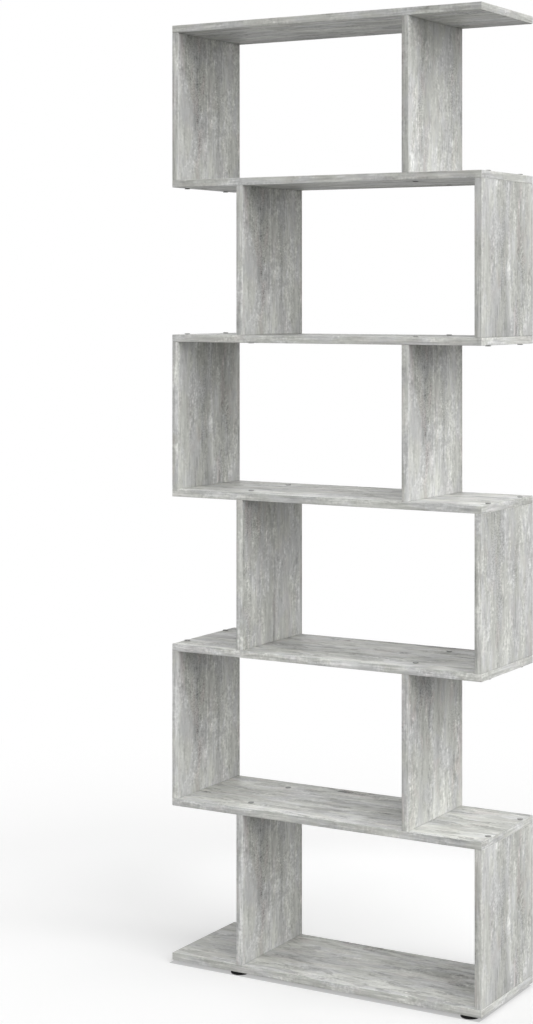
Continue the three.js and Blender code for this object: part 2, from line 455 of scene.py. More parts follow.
# What a mark adds where its mask is 1, in levels
MARK_LEVELS = {"dots": -28, "pale dots": 9, "flakes": -20, "pale flakes": 8,
               "strokes": -20, "pale strokes": 6, "worn": -8, "worn tops": -26, "rubs": -15}
print("noises:", len(NOISES))

# %% Places of dots, lines and patches
DOT_SPACING = (0.0038, 0.0066, 1)
# Patches of dots, in millimetres: height on the upright, distance from the front, half sizes
DOTS = {
    0: [(228, 66, 95, 36), (185, 150, 52, 18), (120, 78, 75, 14)],
    1: [(190, 88, 100, 16), (140, 184, 44, 18), (40, 166, 52, 20)],
    2: [(95, 18, 115, 16), (255, 45, 50, 40)],
    3: [(265, 72, 45, 50), (180, 196, 26, 34)],
    4: [(110, 52, 100, 14), (180, 190, 60, 26)],
}
DOTS[FADED_STRIP] = DOTS[0]
# Long lines, in the same four sizes and the levels that they add
LINES = {
    0: [(230, 107, 100, 2.2, 12), (97, 137, 42, 3.0, 10), (118, 149, 60, 3.0, -12)],
    1: [(258, 118, 60, 2.2, 9), (160, 123, 50, 2.2, 9), (70, 129, 75, 2.6, 10),
        (194, 149, 44, 2.6, 9), (172, 169, 28, 5.0, -14)],
    2: [(50, 121, 52, 2.4, -26), (258, 120, 34, 1.8, -10), (188, 114, 22, 2.0, 10)],
    3: [(145, 115, 30, 2.2, 10), (35, 209, 34, 3.5, -10)],
    4: [(45, 56, 46, 3.5, -12), (50, 92, 32, 9.0, 9)],
    FADED_STRIP: [(230, 107, 100, 2.2, 11), (97, 137, 42, 3.0, 9), (118, 149, 60, 3.0, -14)],
}
# How far along the roll each top starts after the one below it, in metres
TOP_STEP = 1.3
# Patches of painted shadow and painted light on the tops: number of the board, its place along
# the board and from the front, half sizes, all in millimetres, and the levels
TOP_PAINTED_LIGHT_AND_SHADE = [
    (0, 50, 120, 130, 180, -15), (0, 440, 60, 190, 80, 6), (1, 560, 150, 110, 60, -8),
    (1, 470, 120, 60, 150, -12), (1, 640, 116, 90, 150, 7), (2, 70, 120, 110, 160, -6),
    (3, 470, 120, 60, 150, -10), (3, 640, 116, 90, 150, 7),
]
print("patches on the tops:", len(TOP_PAINTED_LIGHT_AND_SHADE))


# %% Decor helpers
def layer(tree, grain, seed, length, width, detail=2.0, wave=0.0):
    inputs = {"Grain": grain, "Length": length, "Width": width, "Detail": detail,
              "Wave": wave, "Seed": seed}
    return use(tree, stretched, inputs)["Value"]


def noise_of(tree, grain, name):
    return layer(tree, grain, **NOISES[name])


def mask_of(tree, value, name):
    return smooth_step(tree, value, *MASK_CUTS[name])


def between(tree, mask, low, high):
    return calc(tree, "MULTIPLY_ADD", mask, high - low, low)


def total(tree, values):
    result = values[0]
    for value in values[1:]:
        result = calc(tree, "ADD", result, value)
    return result


def scaled(tree, value, factor):
    return calc(tree, "MULTIPLY", value, factor)


def layer_sum(tree, grain, layers, seed):
    made = []
    for values in layers.values():
        shape = {name: value for name, value in values.items() if name != "levels"}
        made.append(scaled(tree, layer(tree, grain, seed, **shape), values["levels"]))
        seed += SEED_STEP
    return total(tree, made)


def patch(tree, place, strip, start, front, half_length, half_width):
    centre = (start, strip * STRIP_WIDTH + front * MM, 0)
    return soft_ellipse(tree, place, centre, (half_length * MM, half_width * MM, 1))


def from_strip(tree, across, number):
    start = number * STRIP_WIDTH - STRIP_MARGIN
    return smooth_step(tree, across, start - MM, start + MM)


# %% [markdown]
# The group starts with the bands. A ruled stripe looks printed, so they wander a little from
# side to side along the grain, and a wide soft noise makes them swell and fade.

# %% Bands
WANDER = 0.016
SWELL = 2.0
MEAN_SWELL = 1.05

decor, given = new_group("Weathered wood print with painted shading", {"Grain": "vector"},
                         {"Levels": "value", "Pink": "value", "Cool": "value", "Relief": "value"})
grain = given["Grain"]
split = add(decor, "SeparateXYZ", {0: grain})
wander = scaled(decor, noise_of(decor, grain, "wander"), WANDER)
bent = calc(decor, "ADD", split[1], wander)
place = add(decor, "CombineXYZ", {0: split[0], 1: bent})[0]
half = UPRIGHT_START + UPRIGHT_LENGTH / 2
lower = smooth_step(decor, split[0], UPRIGHT_START, half)
upper = smooth_step(decor, split[0], half, UPRIGHT_START + UPRIGHT_LENGTH)
swell = calc(decor, "MULTIPLY_ADD", noise_of(decor, grain, "swell"), SWELL, MEAN_SWELL)
parts = []
for number, rows in enumerate(STRIPS):
    if not rows:
        continue
    is_edge = number in (EDGE_STRIP, UPRIGHT_EDGE_STRIP)
    shape = bands(decor, split[1] if is_edge else bent, number, "foot")
    if "middle" in rows:
        middle = bands(decor, bent, number, "middle")
        head = bands(decor, bent, number, "head")
        shape = add(decor, "Mix", {0: lower, 2: shape, 3: middle})[0]
        shape = add(decor, "Mix", {0: upper, 2: shape, 3: head})[0]
    parts.append(shape)
# The sum of all bands: print, with painted light and shade from the rows of the tops, the
# undersides and the uprights' edge bands
bands_and_painted_shading = calc(decor, "MULTIPLY", total(decor, parts), swell)
dark = mask_of(decor, bands_and_painted_shading, "dark band")
print("strips with bands:", len(parts))

# %% [markdown]
# Dots from a Voronoi texture, like pores that the whitewash left open, lie in patches and on
# the darker bands. The fine layers follow, and then the long lines along the grain, which are
# very narrow ellipses, and the wide patches of painted shadow and painted light on the tops.

# %% Patches of dots
DOTS_ON_DARK = 0.3
DOTS_OUT_OF_CLUSTERS = 0.4

masks = [patch(decor, place, strip, UPRIGHT_START + height * MM, *sizes)
         for strip, spots in DOTS.items() for height, *sizes in spots]
cluster = mask_of(decor, noise_of(decor, grain, "clusters"), "clusters")
dotted = calc(decor, "ADD", total(decor, masks), scaled(decor, dark, DOTS_ON_DARK))
dotted = calc(decor, "MULTIPLY", dotted, between(decor, cluster, DOTS_OUT_OF_CLUSTERS, 1.0))
dotted = calc(decor, "MINIMUM", dotted, 1.0)
print("patches of dots:", len(masks))

# %% Fine layers
# How strong the fine layers are where the wood is smooth and where it is rough
SMOOTH_STRENGTH, ROUGH_STRENGTH = 0.3, 1.65
# What is left of that on edge bands, and what tops lose, outside their worn patches and in them
EDGE_STRENGTH = 0.75
TOP_LOSS, WORN_LOSS = 0.6, -0.3

from_edge = from_strip(decor, split[1], EDGE_STRIP)
on_top = calc(decor, "SUBTRACT", from_strip(decor, split[1], TOP_STRIP), from_edge)
on_edge = calc(decor, "SUBTRACT", from_edge, from_strip(decor, split[1], FADED_STRIP))
calm = between(decor, on_edge, 1.0, EDGE_STRENGTH)
worn = mask_of(decor, noise_of(decor, grain, "worn"), "worn")
loss = calc(decor, "MULTIPLY", on_top, between(decor, worn, TOP_LOSS, WORN_LOSS))
rough = mask_of(decor, noise_of(decor, grain, "rough"), "rough")
rough = between(decor, rough, SMOOTH_STRENGTH, ROUGH_STRENGTH)
rough = calc(decor, "MULTIPLY", rough, calc(decor, "SUBTRACT", calm, loss))
fine = layer_sum(decor, grain, FINE_LAYERS, SEEDS["fine"])
edge = layer_sum(decor, grain, EDGE_LAYERS, SEEDS["edges"])
drift = layer_sum(decor, grain, TOP_LAYERS, SEEDS["tops"])
parts = [bands_and_painted_shading, layer_sum(decor, grain, LAYERS, SEEDS["all over"])]
for shape, strength in ((fine, rough), (edge, on_edge), (drift, on_top)):
    parts.append(calc(decor, "MULTIPLY", shape, strength))
print("stacks of layers:", len(parts))

# %% Dots, lines and painted shadow and light on the tops
spot = add(decor, "VectorMath", {0: place, 1: DOT_SPACING}, operation="DIVIDE")[0]
cells = add(decor, "TexVoronoi", {"Vector": spot, "Scale": 1.0}, voronoi_dimensions="2D")
for name in ("dots", "pale dots"):
    spots = calc(decor, "MULTIPLY", mask_of(decor, cells["Distance"], name), dotted)
    parts.append(scaled(decor, spots, MARK_LEVELS[name]))
for strip, lines in LINES.items():
    for height, *sizes, step in lines:
        line = patch(decor, place, strip, UPRIGHT_START + height * MM, *sizes)
        parts.append(scaled(decor, line, step))
for number, along, *sizes, step in TOP_PAINTED_LIGHT_AND_SHADE:
    spot = patch(decor, place, TOP_STRIP, number * TOP_STEP + along * MM, *sizes)
    parts.append(scaled(decor, spot, step))
print("stacks and marks:", len(parts))

# %% [markdown]
# Ragged flakes, short strokes and worn patches are made of soft noises that are cut off
# sharply, which leaves a torn edge, as old paint has. A painted mask would be needed for
# every board, while noise is different at each place on the roll.

# %% Flakes, strokes and worn patches
# How strong flakes are outside the dark bands, and strokes outside the clusters
FLAKES_ON_PALE = 0.4
STROKES_OUT_OF_CLUSTERS = 0.3

flake = noise_of(decor, grain, "flakes")
stroke = noise_of(decor, grain, "strokes")
strengths = {
    "flakes": (flake, between(decor, dark, FLAKES_ON_PALE, 1.0)),
    "pale flakes": (flake, 1.0),
    "strokes": (stroke, between(decor, cluster, STROKES_OUT_OF_CLUSTERS, 1.0)),
    "pale strokes": (stroke, 1.0),
}
marks = []
for name, (noise, strength) in strengths.items():
    mark = calc(decor, "MULTIPLY", mask_of(decor, noise, name), strength)
    marks.append(scaled(decor, mark, MARK_LEVELS[name]))
step = between(decor, on_top, MARK_LEVELS["worn"], MARK_LEVELS["worn tops"])
marks.append(calc(decor, "MULTIPLY", worn, step))
parts.append(calc(decor, "MULTIPLY", total(decor, marks), calm))
rub = mask_of(decor, noise_of(decor, grain, "rubs"), "rubs")
parts.append(scaled(decor, calc(decor, "MULTIPLY", rub, on_edge), MARK_LEVELS["rubs"]))
levels = total(decor, parts)
print("parts of the print:", len(parts))

# %% Tint and relief
PINK_ON_PALE, PINK_ON_DARK = 0.15, 0.45
RELIEF_PER_LEVEL = 0.012

cool = mask_of(decor, noise_of(decor, grain, "cool"), "cool")
rosy = mask_of(decor, noise_of(decor, grain, "rosy"), "rosy")
pink = calc(decor, "MULTIPLY", rosy, between(decor, dark, PINK_ON_PALE, PINK_ON_DARK))
pores = noise_of(decor, grain, "pores")
relief = calc(decor, "MULTIPLY_ADD", levels, RELIEF_PER_LEVEL, pores)
put_out(decor, {"Levels": levels, "Pink": pink, "Cool": cool, "Relief": relief})
print("group:", decor.name, "with", len(decor.nodes), "nodes")

# %% [markdown]
# The board material turns the levels into colour. The film is matt, with a slight gloss
# that follows the print, and the embossing is a bump of a few hundredths of a millimetre.
# An attribute named shade holds, at each corner of a face, how many levels it is lighter or
# darker than the print: the rounded edges, the glue line beside each edge band, and the bands
# themselves, which come from other rolls than the faces, with painted light at one end of each
# band that turns into painted shade at the other.

# %% Board material
WARM_LEVELS = (203, 203.9, 198.3)
COOL_LEVELS = (202, 202.6, 201.2)
PINK_LEVELS = (208, 199, 196)
LEVELS_DOWN = 100
LEVELS_UP = 52
FILM_ROUGHNESS = 0.56
ROUGHNESS_PER_LEVEL = -0.002
EMBOSSING = 0.06 * MM
BUMP_STRENGTH = 0.5


def shades_of(tree, share, levels):
    made = tree.nodes.new("ShaderNodeValToRGB")
    ramp = made.color_ramp
    ramp.elements[0].color = colour(*(level - LEVELS_DOWN for level in levels))
    ramp.elements[1].color = colour(*(level + LEVELS_UP for level in levels))
    middle = ramp.elements.new(LEVELS_DOWN / (LEVELS_DOWN + LEVELS_UP))
    middle.color = colour(*levels)
    return fill(tree, made, {"Fac": share})["Color"]


board_material, tree = new_material("faced_board")
grain = add(tree, "UVMap", uv_map="grain")[0]
print_and_shading = use(tree, decor, {"Grain": grain})
shade = add(tree, "Attribute", attribute_name="shade")["Fac"]
levels = calc(tree, "ADD", shade, print_and_shading["Levels"])
share = add(tree, "MapRange", {"Value": levels, "From Min": -LEVELS_DOWN, "From Max": LEVELS_UP})[0]
grey = shades_of(tree, share, WARM_LEVELS)
for output, tint in (("Cool", COOL_LEVELS), ("Pink", PINK_LEVELS)):
    inputs = {0: print_and_shading[output], 6: grey, 7: shades_of(tree, share, tint)}
    grey = add(tree, "Mix", inputs, data_type="RGBA")[2]
rough = calc(tree, "MULTIPLY_ADD", print_and_shading["Levels"], ROUGHNESS_PER_LEVEL, FILM_ROUGHNESS)
bump = add(tree, "Bump", {"Height": print_and_shading["Relief"], "Strength": BUMP_STRENGTH,
                          "Distance": EMBOSSING})
surface = add(tree, "BsdfPrincipled", {"Base Color": grey, "Roughness": rough, "Normal": bump[0]})
add(tree, "OutputMaterial", {"Surface": surface[0]})
print("material:", board_material.name)

# %% [markdown]
# All boards are made alike, so the operators are gathered in helpers. Everything is
# deselected before a primitive is added, because an operator acts on all that is selected.
# Faces and edges are selected in code, by a test on their normal or place.

# %% Modelling helpers
SMOOTH_ANGLE = math.radians(35)
# A face whose normal has at least this share along an axis lies square to it
SQUARE = 0.999


def start_clean():
    if bpy.context.object and bpy.context.object.mode != "OBJECT":
        bpy.ops.object.mode_set(mode="OBJECT")
    bpy.ops.object.select_all(action="DESELECT")


def pick(piece, kind, test):
    mesh = bmesh.from_edit_mesh(piece.data)
    bpy.ops.mesh.select_all(action="DESELECT")
    for element in getattr(mesh, kind):
        if test(element):
            element.select_set(True)
    bmesh.update_edit_mesh(piece.data)


def name_new(name):
    piece = bpy.context.object
    piece.name = name
    piece.data.name = name
    return piece


def open_new(name):
    piece = name_new(name)
    bpy.ops.object.transform_apply(location=True, rotation=False, scale=True)
    bpy.ops.object.mode_set(mode="EDIT")
    return piece


def soft_edges():
    bpy.ops.object.mode_set(mode="OBJECT")
    bpy.ops.object.shade_smooth_by_angle(angle=SMOOTH_ANGLE)


def copy_to(source, name, shift, turn=0):
    start_clean()
    source.select_set(True)
    bpy.context.view_layer.objects.active = source
    bpy.ops.object.duplicate(linked=False)
    twin = name_new(name)
    twin.location = shift
    twin.rotation_euler = (turn, 0, 0)
    bpy.ops.object.transform_apply(location=True, rotation=True, scale=False)
    return twin


def discard(*pieces):
    start_clean()
    for piece in pieces:
        piece.select_set(True)
    bpy.ops.object.delete()


# %% [markdown]
# A board starts as a cube scaled to its size. Its edges get a small round, as on a plastic
# edge band that has been trimmed, and each broad face gets the fine glue line that shows
# beside the band: three insets, the middle one pressed in. A flat texture could draw that
# line, but only a real groove catches light and shade from every side.

# %% One board
ROUND = 0.9 * MM
ROUND_STEPS = 4
BAND = 0.5 * MM
LINE = 0.16 * MM


def make_board(name, low, high):
    centre = (Vector(low) + Vector(high)) / 2
    size = Vector(high) - Vector(low)
    thin = min(range(3), key=lambda axis: size[axis])
    start_clean()
    bpy.ops.mesh.primitive_cube_add(size=1, location=centre, scale=size)
    board = open_new(name)
    bpy.ops.mesh.select_all(action="SELECT")
    bpy.ops.mesh.bevel(offset=ROUND, segments=ROUND_STEPS, affect="EDGES")
    pick(board, "faces", lambda face: abs(face.normal[thin]) > SQUARE)
    bpy.ops.mesh.inset(thickness=BAND, depth=0)
    bpy.ops.mesh.inset(thickness=LINE, depth=-LINE)
    bpy.ops.mesh.inset(thickness=LINE, depth=LINE)
    soft_edges()
    return board


# %% [markdown]
# The print needs to know where it lies on each face. Every board gets a UV map named grain,
# in metres: U runs along the grain, and V runs from the board's front edge to its rear, at
# the strip that the face was cut from. On edge bands V runs across the edge instead, and the
# short ends get the roll's plain strip. The same helper writes the shades: the rounded edges
# are paler, from a stretched film and a painted highlight, except at the front, where those
# at the left get painted shade, and the glue line is dark.

# %% Grain map
END_SHADE = 6
# Levels of the rounded edges: a paler stretched film with a painted highlight, none of that at the
# front, and painted shade at the front left
ARRIS_SHADE = 5
FRONT_ARRIS_SHADE = -1
LEFT_ARRIS_PAINTED_SHADE = -14
GLUE_SHADE = -45
# A rounded edge belongs to the front or left when its normal leans at least this much
LEAN = 0.2


def lay_grain(board, strips, start, edge_strip, edge_start, face_shade, edge_shades):
    mesh = board.data
    low = [min(v.co[axis] for v in mesh.vertices) for axis in range(3)]
    high = [max(v.co[axis] for v in mesh.vertices) for axis in range(3)]
    size = [b - a for a, b in zip(low, high)]
    thin = size.index(min(size))
    grain_axis = size.index(max(size))
    depth_axis = 3 - thin - grain_axis
    mesh.uv_layers.new(name="grain")
    mesh.attributes.new("shade", "FLOAT", "CORNER")
    # Adding a layer can move the others in memory, so both are looked up once both are there
    uv = mesh.uv_layers["grain"]
    shades = mesh.attributes["shade"]
    for face in mesh.polygons:
        facing = max(range(3), key=lambda axis: abs(face.normal[axis]))
        tilt = abs(face.normal[facing])
        inside = min(min(c - a, b - c) for axis, a, b, c in zip(range(3), low, high, face.center)
                     if axis != thin)
        face_start = start
        if facing == thin:
            strip = strips[0] if face.normal[thin] > 0 else strips[1]
            axes = (grain_axis, depth_axis)
            face_shades = (face_shade, face_shade)
        elif facing == depth_axis:
            strip = edge_strip
            face_start = edge_start
            axes = (grain_axis, thin)
            face_shades = edge_shades
        else:
            strip = PLAIN_STRIP
            axes = (depth_axis, thin)
            face_shades = (END_SHADE, END_SHADE)
        if tilt < SQUARE:
            is_front = face.normal.y < -LEAN
            is_left = is_front and face.normal.x < -LEAN
            step = FRONT_ARRIS_SHADE if is_front else ARRIS_SHADE
            step = LEFT_ARRIS_PAINTED_SHADE if is_left else step
            face_shades = [shade + step for shade in face_shades]
            if inside > ROUND + BAND / 2:
                face_shades = (GLUE_SHADE, GLUE_SHADE)
        for loop in face.loop_indices:
            spot = mesh.vertices[mesh.loops[loop].vertex_index].co
            along = spot[axes[0]] - low[axes[0]]
            share = along / size[axes[0]]
            shades.data[loop].value = face_shades[0] * (1 - share) + face_shades[1] * share
            u = along + face_start
            v = spot[axes[1]] - low[axes[1]] + strip * STRIP_WIDTH
            uv.data[loop].uv = (u, v)


# %% Shades of the single boards, in screen levels
EDGE_SHADES = {
    "base_board": 3, "shelf_board_1": -1, "shelf_board_2": 15, "shelf_board_3": 6,
    "shelf_board_4": 0, "shelf_board_5": -7, "top_board": -15,
    "tier_1_inner": 10, "tier_1_end": 4, "tier_2_inner": -4, "tier_2_end": 12,
    "tier_3_inner": 1, "tier_3_end": 4, "tier_4_inner": 10, "tier_4_end": 3,
    "tier_5_inner": -2, "tier_5_end": -8, "tier_6_inner": -25, "tier_6_end": -6,
}
FACE_SHADES = {"shelf_board_1": 6, "shelf_board_2": -10, "shelf_board_4": -26}
# What an edge band adds at its start and at its end: painted light that turns into painted shade
LYING_EDGE_PAINTED_LIGHT_AND_SHADE = (5, -6)
UPRIGHT_EDGE_PAINTED_LIGHT_AND_SHADE = (12, -5)


# %% [markdown]
# The seven lying boards are one size. The first is modelled, and the others are copies of
# it, each moved to its tier. Every copy gets its own stretch of the roll, so no two tops
# show the same marks.

# %% Lying boards
lying = ["base_board"] + [f"shelf_board_{number}" for number in range(1, 6)] + ["top_board"]
base_low, base_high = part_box("base_board")
first = make_board("board_lying_1", base_low, base_high)
lying_pieces = [first]
for number, node in enumerate(lying[1:], start=2):
    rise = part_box(node)[0][2] - base_low[2]
    lying_pieces.append(copy_to(first, f"board_lying_{number}", (0, 0, rise)))
for number, (piece, node) in enumerate(zip(lying_pieces, lying)):
    lay_grain(piece, strips=(TOP_STRIP, UNDER_STRIP), start=TOP_STEP * number,
              edge_strip=EDGE_STRIP, edge_start=TOP_STEP * number,
              face_shade=FACE_SHADES.get(node, 0),
              edge_shades=[EDGE_SHADES[node] + step for step in LYING_EDGE_PAINTED_LIGHT_AND_SHADE])
    piece.data.materials.append(board_material)
    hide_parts(node)
    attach(piece, "root")
print("lying boards:", len(lying_pieces))

# %% [markdown]
# The twelve uprights are also one size. Each stands between two lying boards with a hair of
# play, so its height is taken from the boards and not from its own node, which also holds
# the connectors that are driven into its foot. Where two uprights look alike in the photo of
# the real shelf, they are cut from the same strip.

# %% Uprights
EDGE_ROLL_START = 20
EDGE_ROLL_STEP = 0.9
CUTS = {
    "tier_1_inner": 0, "tier_1_end": 1, "tier_2_inner": 3, "tier_2_end": 0,
    "tier_3_inner": 2, "tier_3_end": FADED_STRIP, "tier_4_inner": 0, "tier_4_end": 1,
    "tier_5_inner": 0, "tier_5_end": 1, "tier_6_inner": 4, "tier_6_end": 0,
}
uprights = {}
for number in range(1, 7):
    floor_of_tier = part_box(lying[number - 1])[1][2]
    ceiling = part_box(lying[number])[0][2]
    for side in ("inner", "end"):
        node = f"tier_{number}_{side}_upright"
        low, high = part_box(node)
        play = ceiling - high[2]
        low = (low[0], low[1], floor_of_tier + play)
        name = f"board_tier_{number}_{side}"
        if uprights:
            model, model_low = next(iter(uprights.values()))
            shift = [b - a for a, b in zip(model_low, low)]
            piece = copy_to(model, name, shift)
        else:
            piece = make_board(name, low, high)
        uprights[node] = (piece, low)
for number, (node, (piece, low)) in enumerate(uprights.items()):
    short_name = node.removesuffix("_upright")
    lay_grain(piece, strips=(CUTS[short_name], LEFT_STRIP), start=UPRIGHT_START,
              edge_strip=UPRIGHT_EDGE_STRIP,
              edge_start=EDGE_ROLL_START + EDGE_ROLL_STEP * number, face_shade=0,
              edge_shades=[EDGE_SHADES[short_name] + step for step in UPRIGHT_EDGE_PAINTED_LIGHT_AND_SHADE])
    piece.data.materials.append(board_material)
    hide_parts(node)
    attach(piece, "root")
print("uprights:", len(uprights))

# %% [markdown]
# The small parts are moulded plastic and plated steel. Both have a skin that is never quite
# even: a fine grain from the mould or the plating bath, and slow cloudy changes in shade.
# One node group gives both from Object coordinates, and each material sets its own sizes.

# %% Uneven skin
CLOUD_CONTRAST = 2.0
CLOUD_ROUGHNESS = 0.25

skin, given = new_group("Uneven skin", {"Grain size": "value", "Cloud size": "value"},
                        {"Clouds": "value", "Grain": "value"})
place = add(skin, "TexCoord")["Object"]
skin_values = {}
for name, size, detail in (("Clouds", "Cloud size", 3.0), ("Grain", "Grain size", 1.0)):
    scale = calc(skin, "DIVIDE", 1.0, given[size])
    found = add(skin, "TexNoise", {"Vector": place, "Scale": scale, "Detail": detail})["Fac"]
    skin_values[name] = calc(skin, "SUBTRACT", found, 0.5)
put_out(skin, skin_values)
print("group:", skin.name)


def skin_material(name, shades, roughness, metallic, specular, grain_size, cloud_size, depth):
    material, tree = new_material(name)
    looks = use(tree, skin, {"Grain size": grain_size, "Cloud size": cloud_size})
    share = calc(tree, "MULTIPLY_ADD", looks["Clouds"], CLOUD_CONTRAST, 0.5)
    inputs = {0: share, 6: colour(*shades[0]), 7: colour(*shades[1])}
    paint = add(tree, "Mix", inputs, data_type="RGBA")[2]
    rough = calc(tree, "MULTIPLY_ADD", looks["Clouds"], CLOUD_ROUGHNESS, roughness)
    bump = add(tree, "Bump", {"Height": looks["Grain"], "Strength": BUMP_STRENGTH,
                              "Distance": depth})
    inputs = {"Base Color": paint, "Roughness": rough, "Metallic": metallic,
              "Specular IOR Level": specular, "Normal": bump[0]}
    add(tree, "OutputMaterial", {"Surface": add(tree, "BsdfPrincipled", inputs)[0]})
    print("material:", name)
    return material


cap_material = skin_material(
    "cap_plastic", shades=((138, 139, 136), (158, 159, 156)), roughness=0.48, metallic=0.0,
    specular=0.4, grain_size=0.35 * MM, cloud_size=5 * MM, depth=0.02 * MM)
foot_material = skin_material(
    "foot_plastic", shades=((5, 5, 6), (14, 14, 15)), roughness=0.60, metallic=0.0,
    specular=0.15, grain_size=0.5 * MM, cloud_size=9 * MM, depth=0.04 * MM)
steel_material = skin_material(
    "plated_steel", shades=((176, 178, 180), (196, 197, 196)), roughness=0.34, metallic=1.0,
    specular=0.5, grain_size=0.25 * MM, cloud_size=3 * MM, depth=0.01 * MM)

# %% [markdown]
# A cover cap hides the head of each connector. It is a button of grey plastic on a narrower
# neck, so a dark line shows under its rim. It starts as the neck, a disc, whose top face is
# extruded and widened into the rim. The face is then inset again and again, and each inset
# is raised a little less than the last, which draws the low crown's arc. The inset's
# thickness is how far it steps in, and its depth is how far it steps up.

# %% One cover cap
CAP_SIDES = 40
CROWN_STEPS = 6
NECK_SHARE = 0.78
NECK_HEIGHT_SHARE = 0.42
FLARE_SHARE = 0.08
CAP_RIM_SHARE = 0.62
CROWN_SHARE = 0.55


def new_disc(name, sides, radius, height):
    start_clean()
    bpy.ops.mesh.primitive_cylinder_add(vertices=sides, radius=radius, depth=height,
                                        location=(0, 0, height / 2))
    return open_new(name)


def grow(radius_now, radius_next, rise):
    bpy.ops.mesh.extrude_region_move(TRANSFORM_OT_translate={"value": (0, 0, rise)})
    share = radius_next / radius_now
    bpy.ops.transform.resize(value=(share, share, 1))
    return radius_next


def raise_crown(radius, height, flat_radius):
    before = (radius, 0.0)
    for step in range(1, CROWN_STEPS + 1):
        angle = step / CROWN_STEPS * math.pi / 2
        now = (flat_radius + (radius - flat_radius) * math.cos(angle), height * math.sin(angle))
        bpy.ops.mesh.inset(thickness=before[0] - now[0], depth=now[1] - before[1])
        before = now


def make_cap(name, radius, height):
    neck = radius * NECK_SHARE
    neck_height = height * NECK_HEIGHT_SHARE
    flare = height * FLARE_SHARE
    rim = height * CAP_RIM_SHARE
    cap = new_disc(name, CAP_SIDES, neck, neck_height)
    pick(cap, "faces", lambda face: face.normal.z > SQUARE)
    grow(neck, radius, flare)
    grow(radius, radius, rim - neck_height - flare)
    raise_crown(radius, height - rim, radius * CROWN_SHARE)
    soft_edges()
    return cap


# %% [markdown]
# Each upright has two caps over it and two under it, one near the front and one near the
# rear. The upper caps stand where their connectors are. The lower ones sit right below them,
# turned over, under the board that the upright stands on.

# %% Cover caps
first_low, first_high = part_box("tier_1_inner_connector_front")
cap_radius = (first_high[1] - first_low[1]) / 2
cap_height = first_high[2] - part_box("shelf_board_1")[1][2]
cap_model = make_cap("cover_cap_model", cap_radius, cap_height)
cap_model.data.materials.append(cap_material)
cap_count = 0
for number in range(1, 7):
    top_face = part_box(lying[number])[1][2]
    under_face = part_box(lying[number - 1])[0][2]
    for side in ("inner", "end"):
        for row in ("front", "rear"):
            node = f"tier_{number}_{side}_connector_{row}"
            low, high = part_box(node)
            x = (low[0] + high[0]) / 2
            y = (low[1] + high[1]) / 2
            name = f"cover_cap_tier_{number}_{side}_{row}"
            upper = copy_to(cap_model, name + "_upper", (x, y, top_face))
            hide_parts(node)
            lower = copy_to(cap_model, name + "_lower", (x, y, under_face), turn=math.pi)
            for cap in (upper, lower):
                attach(cap, "root")
                cap_count += 1
discard(cap_model)
print("cover caps:", cap_count)

# %% [markdown]
# A foot is a round glide of black plastic, screwed on through its middle. It starts as a
# thick disc. The lower rim is rounded by a bevel, and a ring is pressed into the underside.
# The screw's recess is an inset that is pushed up into the disc, and the hole for the shank
# bridges the recess to the top face.

# %% One foot
FOOT_SIDES = 64
FOOT_ROUND = 1.5 * MM
FOOT_ROUND_STEPS = 6
FOOT_TOP_EDGE = 0.4 * MM
FOOT_TOP_STEPS = 2
FOOT_GROOVE = 0.6 * MM
FOOT_GROOVE_SHARE = 0.7
BORE_RADIUS = 2.3 * MM
RECESS_PLAY = 0.6 * MM
WEB_SHARE = 0.42
# Play in the tests for a level and for the area of the bore
LEVEL_PLAY = 0.01 * MM
AREA_PLAY_SHARE = 1.1


def on_level(edge, level):
    return all(abs(corner.co.z - level) < LEVEL_PLAY for corner in edge.verts)


def make_foot(name, radius, height, recess_radius):
    foot = new_disc(name, FOOT_SIDES, radius, height)
    pick(foot, "edges", lambda edge: on_level(edge, 0))
    bpy.ops.mesh.bevel(offset=FOOT_ROUND, segments=FOOT_ROUND_STEPS, affect="EDGES")
    pick(foot, "edges", lambda edge: on_level(edge, height))
    bpy.ops.mesh.bevel(offset=FOOT_TOP_EDGE, segments=FOOT_TOP_STEPS, affect="EDGES")
    pick(foot, "faces", lambda face: face.normal.z < -SQUARE)
    groove_radius = radius * FOOT_GROOVE_SHARE
    bpy.ops.mesh.inset(thickness=radius - FOOT_ROUND - groove_radius, depth=0)
    bpy.ops.mesh.inset(thickness=FOOT_GROOVE, depth=-FOOT_GROOVE)
    bpy.ops.mesh.inset(thickness=FOOT_GROOVE, depth=FOOT_GROOVE)
    bpy.ops.mesh.inset(thickness=groove_radius - 2 * FOOT_GROOVE - recess_radius, depth=0)
    recess = height * (1 - WEB_SHARE)
    bpy.ops.mesh.extrude_region_move(TRANSFORM_OT_translate={"value": (0, 0, recess)})
    bpy.ops.mesh.inset(thickness=recess_radius - BORE_RADIUS, depth=0)
    pick(foot, "faces", lambda face: face.normal.z > SQUARE)
    bpy.ops.mesh.inset(thickness=radius - FOOT_TOP_EDGE - BORE_RADIUS, depth=0)
    bore_area = AREA_PLAY_SHARE * math.pi * BORE_RADIUS ** 2
    pick(foot, "faces", lambda face: abs(face.normal.z) > SQUARE
         and len(face.verts) == FOOT_SIDES and face.calc_area() < bore_area)
    bpy.ops.mesh.bridge_edge_loops()
    soft_edges()
    return foot


# %% [markdown]
# The foot's screw has a pan head with a cross recess and a coarse thread. The head's rim is
# rounded by a bevel, the cross is cut by a Boolean modifier with two thin blocks, and the
# shank grows out of the head's other side, one ring of the thread after another. Rings look
# the same as a spiral at this size, and are far simpler to make.

# %% One foot screw
SCREW_SIDES = 32
THREAD_PITCH = 1.6 * MM
THREAD_DEPTH = 0.45 * MM
